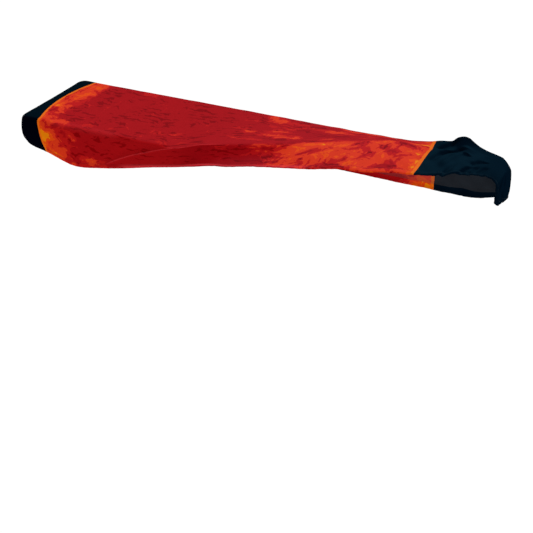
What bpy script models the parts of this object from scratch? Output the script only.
"""A stretch-cloth dust cover for an electric piano, hung as if the instrument were still under it.

Metres, +Z up, +X to the player's right, +Y away from the player. The origin is the middle of the
plane that the cover's top rests on. The cover is one cloth shell, open below: a long boxed top with
its front edge lifted on the right, so that the elastic hem crosses from the front to the right end.
"""

import bmesh
import bpy
import numpy as np
from mathutils import Vector

# Sizes of the cover as it is cut and sewn
LENGTH = 1.324
DEPTH = 0.268
DROP = 0.125
CLOTH = 0.0018
HEM_CLOTH = 0.0028
HEM_WIDTH = 0.016
CORNER_RADIUS = 0.024
EDGE_RADIUS = 0.009

# Spacing of the mesh lines
WIDE_STEP = 0.034
FINE_STEP = 0.011
FINE_FROM = 0.45
CROSS_STEP = 0.023
DROP_STEP = 0.018


def table(columns, *rows):
    return np.array(list(rows), dtype=[(name, float) for name in columns.split()])


# The front edge of the top, from left to right: where it lies once the cover hangs
RIDGE = table(
    "x y z",
    (-0.662, -0.129, -0.001),
    (-0.550, -0.134, 0.002),
    (-0.250, -0.134, 0.002),
    (-0.110, -0.132, 0.004),
    (-0.035, -0.104, 0.013),
    (0.060, -0.062, 0.014),
    (0.160, -0.011, 0.010),
    (0.270, 0.050, 0.006),
    (0.400, 0.106, 0.003),
    (0.500, 0.083, 0.006),
    (0.560, 0.086, 0.005),
    (0.610, 0.078, 0.001),
    (0.662, 0.072, -0.006),
)

# The front hem: it dips left of the middle, then climbs over the front and lies across the top.
# tuck is how late the wall turns in towards the hem, and belly is how far it stands off a straight line
HEM = table(
    "x y z tuck belly",
    (-0.662, -0.126, -0.0925, 8.0, 0.009),
    (-0.590, -0.129, -0.1032, 5.0, 0.005),
    (-0.480, -0.134, -0.124, 4.0, 0.003),
    (-0.370, -0.136, -0.107, 3.0, 0.002),
    (-0.180, -0.139, -0.064, 2.0, 0.003),
    (-0.060, -0.139, -0.038, 1.3, 0.002),
    (0.030, -0.135, -0.021, 1.0, -0.005),
    (0.105, -0.112, -0.0175, 1.0, -0.006),
    (0.220, -0.074, -0.0175, 1.0, 0.004),
    (0.316, -0.053, -0.008, 1.0, 0.005),
    (0.365, -0.049, -0.006, 1.0, 0.004),
    (0.430, -0.031, -0.003, 1.0, 0.004),
    (0.490, -0.021, -0.003, 1.0, 0.003),
    (0.540, 0.000, -0.003, 1.0, 0.003),
    (0.580, 0.023, -0.003, 1.0, 0.003),
    (0.640, 0.029, -0.003, 1.0, 0.002),
    (0.662, 0.010, -0.002, 1.0, 0.002),
)

# The back edge of the top, with the upright pocket of loose cloth near its right end. steep is how late
# the top climbs to it, and puff is how far the pocket swells out behind
CREST = table(
    "x y z steep puff",
    (-0.662, 0.139, 0.002, 1.0, 0.0),
    (-0.550, 0.136, 0.002, 1.0, 0.0),
    (-0.220, 0.134, 0.001, 1.0, 0.0),
    (0.280, 0.134, -0.005, 1.0, 0.0),
    (0.390, 0.134, -0.006, 1.0, 0.0),
    (0.430, 0.134, -0.002, 1.0, 0.0),
    (0.476, 0.134, 0.006, 1.2, 0.0),
    (0.516, 0.134, 0.015, 1.7, 0.004),
    (0.538, 0.134, 0.0315, 1.9, 0.007),
    (0.551, 0.134, 0.0335, 1.9, 0.007),
    (0.564, 0.134, 0.0265, 1.9, 0.007),
    (0.584, 0.134, 0.0105, 1.6, 0.0055),
    (0.602, 0.134, 0.004, 1.2, 0.0025),
    (0.635, 0.133, -0.005, 1.0, 0.0),
    (0.662, 0.129, -0.027, 1.0, 0.0),
)

# The back hem, which hangs lower where the lifted cloth is thrown behind
TAIL = table(
    "x y z",
    (-0.662, 0.118, -0.096),
    (-0.350, 0.124, -0.116),
    (0.150, 0.126, -0.120),
    (0.420, 0.128, -0.124),
    (0.560, 0.127, -0.124),
    (0.662, 0.118, -0.096),
)
TAIL_TUCK = 3.0
PUFF_DOWN = 0.10

# The right end's hem, from the front corner of the cut cloth to the back one
END_HEM = table(
    "across y z",
    (0.00, 0.010, -0.002),
    (0.12, 0.0085, -0.018),
    (0.25, 0.013, -0.036),
    (0.38, 0.016, -0.055),
    (0.50, 0.026, -0.068),
    (0.62, 0.045, -0.0745),
    (0.82, 0.088, -0.0925),
    (1.00, 0.118, -0.096),
)
LEFT_END_TUCK = 0.002
LEFT_END_BELLY = 0.024
LEFT_END_BACK = 0.0055
RIGHT_END_BELLY = 0.003
RIGHT_END_SHOULDER = 0.003
TOP_SAG = 0.002

# The main folds, as lines on the flat cloth. across runs from the top's front edge: minus is down the
# front wall, plus is back over the top. height is out of the cloth for a crease, minus for a trough
FOLDS = table(
    "x across to_x to_across half_width height",
    (-0.345, -0.105, -0.120, -0.012, 0.016, 0.006),
    (-0.300, -0.122, -0.120, -0.070, 0.020, -0.003),
    (-0.110, 0.004, 0.000, 0.004, 0.018, 0.004),
    (0.010, -0.110, 0.035, -0.030, 0.020, -0.004),
    (0.075, -0.115, 0.090, -0.040, 0.020, -0.003),
    (0.330, -0.100, 0.370, -0.030, 0.020, -0.003),
    (0.490, -0.045, 0.525, 0.090, 0.018, -0.005),
    (0.535, -0.060, 0.548, 0.200, 0.020, 0.004),
    (0.565, -0.100, 0.620, 0.060, 0.016, -0.004),
    (0.605, -0.100, 0.645, 0.020, 0.016, 0.003),
)
FOLD_FADE = 0.030


def smooth_value(rows, name, at):
    """A named column's value at a place along the table's first column, on a curve that never overshoots."""
    places = rows[rows.dtype.names[0]]
    values = rows[name]
    gaps = np.diff(places)
    slopes = np.diff(values) / gaps
    before, after = slopes[:-1], slopes[1:]
    bends = np.zeros(len(places))
    bends[[0, -1]] = slopes[[0, -1]]
    same_way = before * after > 0
    bends[1:-1][same_way] = (2 * before * after / (before + after + (~same_way)))[same_way]
    at = min(max(at, places[0]), places[-1])
    i = min(int(np.searchsorted(places, at, side="right")) - 1, len(gaps) - 1)
    t = (at - places[i]) / gaps[i]
    rise = values[i] * (1 - t) ** 2 * (1 + 2 * t) + values[i + 1] * t**2 * (3 - 2 * t)
    return rise + gaps[i] * (bends[i] * t * (1 - t) ** 2 - bends[i + 1] * t**2 * (1 - t))


def point_on(rows, at):
    return np.array([smooth_value(rows, "y", at), smooth_value(rows, "z", at)])


def front_wall(x, down):
    """(y, z) of the front wall at x, from the ridge (down = 0) to the hem (down = 1)."""
    ridge = point_on(RIDGE, x)
    hem = point_on(HEM, x)
    tuck = smooth_value(HEM, "tuck", x)
    belly = smooth_value(HEM, "belly", x)
    run = hem - ridge
    out = np.array([run[1], -run[0]]) / np.linalg.norm(run)
    place = np.array([ridge[0] + run[0] * down**tuck, ridge[1] + run[1] * down])
    return place + out * belly * np.sin(np.pi * down)


def back_wall(x, down):
    crest = point_on(CREST, x)
    tail = point_on(TAIL, x)
    run = tail - crest
    swell = smooth_value(CREST, "puff", x) * down / PUFF_DOWN * np.exp(1 - down / PUFF_DOWN)
    return np.array([crest[0] + run[0] * down**TAIL_TUCK + swell, crest[1] + run[1] * down])


def top_panel(x, across):
    ridge = point_on(RIDGE, x)
    crest = point_on(CREST, x)
    climb = across ** smooth_value(CREST, "steep", x)
    y = ridge[0] * (1 - across) + crest[0] * across
    z = ridge[1] * (1 - climb) + crest[1] * climb
    return np.array([y, z - TOP_SAG * np.sin(np.pi * across)])


def end_hem(x, across):
    """(y, z) of the hem across an end: straight on the left, on the right along its table."""
    place = front_wall(x, 1.0) * (1 - across) + back_wall(x, 1.0) * across
    if x > 0:
        straight = point_on(END_HEM, 0.0) * (1 - across) + point_on(END_HEM, 1.0) * across
        place += point_on(END_HEM, across) - straight
    return place


def hung(point):
    """Where a point of the sewn box goes when the cover hangs. Walls and top meet on shared edges."""
    x = point.x
    across = max(0.0, point.y / DEPTH + 0.5)
    down = max(0.0, -point.z / DROP)
    sides = front_wall(x, down) * (1 - across) + back_wall(x, down) * across
    ends = top_panel(x, across) * (1 - down) + end_hem(x, across) * down
    corners = (front_wall(x, 0) * (1 - across) + back_wall(x, 0) * across) * (1 - down)
    corners += (front_wall(x, 1) * (1 - across) + back_wall(x, 1) * across) * down
    y, z = sides + ends - corners
    near_end = max(0.0, 1 - (LENGTH / 2 - abs(x)) / CORNER_RADIUS) ** 0.5
    bulge = near_end * down**0.6 * (1 - down**9)
    if x < 0:
        x += near_end * (LEFT_END_TUCK * down**6 - LEFT_END_BACK * across) - LEFT_END_BELLY * bulge
    else:
        x += RIGHT_END_BELLY * bulge - RIGHT_END_SHOULDER * near_end * (1 - down) ** 4
    return Vector((x, y, z))


def fold_height(point):
    """How far the folds lift a point of the sewn box off the smooth cover."""
    side = point.z if point.y < 0 else -point.z
    place = np.array([point.x, point.y + DEPTH / 2 + side])
    height = 0.0
    for fold in FOLDS:
        start = np.array([fold["x"], fold["across"]])
        run = np.array([fold["to_x"], fold["to_across"]]) - start
        length = np.linalg.norm(run)
        along = (place - start) @ run / length
        off = abs((place - start) @ np.array([-run[1], run[0]])) / length
        past_end = max(0.0, -along, along - length)
        height += fold["height"] * np.exp(-((off / fold["half_width"]) ** 2 + (past_end / FOLD_FADE) ** 2))
    return height


def cut_lines(bm, axis, places):
    """Cuts the mesh across one axis at each place, so that it can bend there."""
    normal = Vector((axis == 0, axis == 1, axis == 2))
    for place in places:
        everything = bm.verts[:] + bm.edges[:] + bm.faces[:]
        bmesh.ops.bisect_plane(bm, geom=everything, plane_co=normal * place, plane_no=normal, dist=1e-6)


def even_places(low, high, step):
    count = max(1, round((high - low) / step))
    return np.linspace(low, high, count + 1)


def sewn_box():
    """The cover as sewn: a box without a bottom, its corners and edges rounded, cut into even cells."""
    bm = bmesh.new()
    bmesh.ops.create_cube(bm, size=1.0)
    bmesh.ops.scale(bm, vec=(LENGTH, DEPTH, DROP), verts=bm.verts)
    bmesh.ops.translate(bm, vec=(0, 0, -DROP / 2), verts=bm.verts)
    bottom = [face for face in bm.faces if face.normal.z < -0.5]
    bmesh.ops.delete(bm, geom=bottom, context="FACES_ONLY")
    upright = [e for e in bm.edges if abs(e.verts[0].co.z - e.verts[1].co.z) > DROP / 2]
    bmesh.ops.bevel(
        bm, geom=upright, offset=CORNER_RADIUS, segments=4, profile=0.5, affect="EDGES", material=-1
    )
    rim = [e for e in bm.edges if all(abs(v.co.z) < 1e-6 for v in e.verts)]
    bmesh.ops.bevel(
        bm, geom=rim, offset=EDGE_RADIUS, segments=3, profile=0.5, affect="EDGES", material=-1
    )
    reach_x = LENGTH / 2 - CORNER_RADIUS
    reach_y = DEPTH / 2 - CORNER_RADIUS
    cut_lines(bm, 0, even_places(-reach_x, FINE_FROM, WIDE_STEP))
    cut_lines(bm, 0, even_places(FINE_FROM, reach_x, FINE_STEP)[1:])
    cut_lines(bm, 1, even_places(-reach_y, reach_y, CROSS_STEP))
    cut_lines(bm, 2, even_places(-DROP + HEM_WIDTH, -EDGE_RADIUS, DROP_STEP)[:-1])
    return bm


def cloth_material():
    material = bpy.data.materials.new("printed stretch cloth")
    material.use_nodes = True
    shader = material.node_tree.nodes["Principled BSDF"]
    shader.inputs["Base Color"].default_value = (0.33, 0.012, 0.014, 1)
    shader.inputs["Roughness"].default_value = 0.62
    shader.inputs["Metallic"].default_value = 0.0
    return material


def build_cover():
    bm = sewn_box()
    hem_line = -DROP + HEM_WIDTH + 1e-5
    bm.verts.index_update()
    in_hem = [v.index for v in bm.verts if v.co.z < hem_line]
    lifts = [fold_height(v.co) for v in bm.verts]
    for vertex in bm.verts:
        vertex.co = hung(vertex.co)
    bm.normal_update()
    for vertex, lift in zip(bm.verts, lifts):
        vertex.co += vertex.normal * lift
    mesh = bpy.data.meshes.new("cover")
    bm.to_mesh(mesh)
    bm.free()
    mesh.shade_smooth()
    cover = bpy.data.objects.new("cover", mesh)
    bpy.context.scene.collection.objects.link(cover)
    cover.data.materials.append(cloth_material())
    hem = cover.vertex_groups.new(name="hem")
    hem.add(in_hem, 1.0, "REPLACE")
    wall = cover.modifiers.new("cloth thickness", "SOLIDIFY")
    wall.thickness = HEM_CLOTH
    wall.offset = -1.0
    wall.use_even_offset = True
    wall.vertex_group = "hem"
    wall.thickness_vertex_group = CLOTH / HEM_CLOTH
    return cover


for old in list(bpy.data.objects):
    bpy.data.objects.remove(old, do_unlink=True)
build_cover()
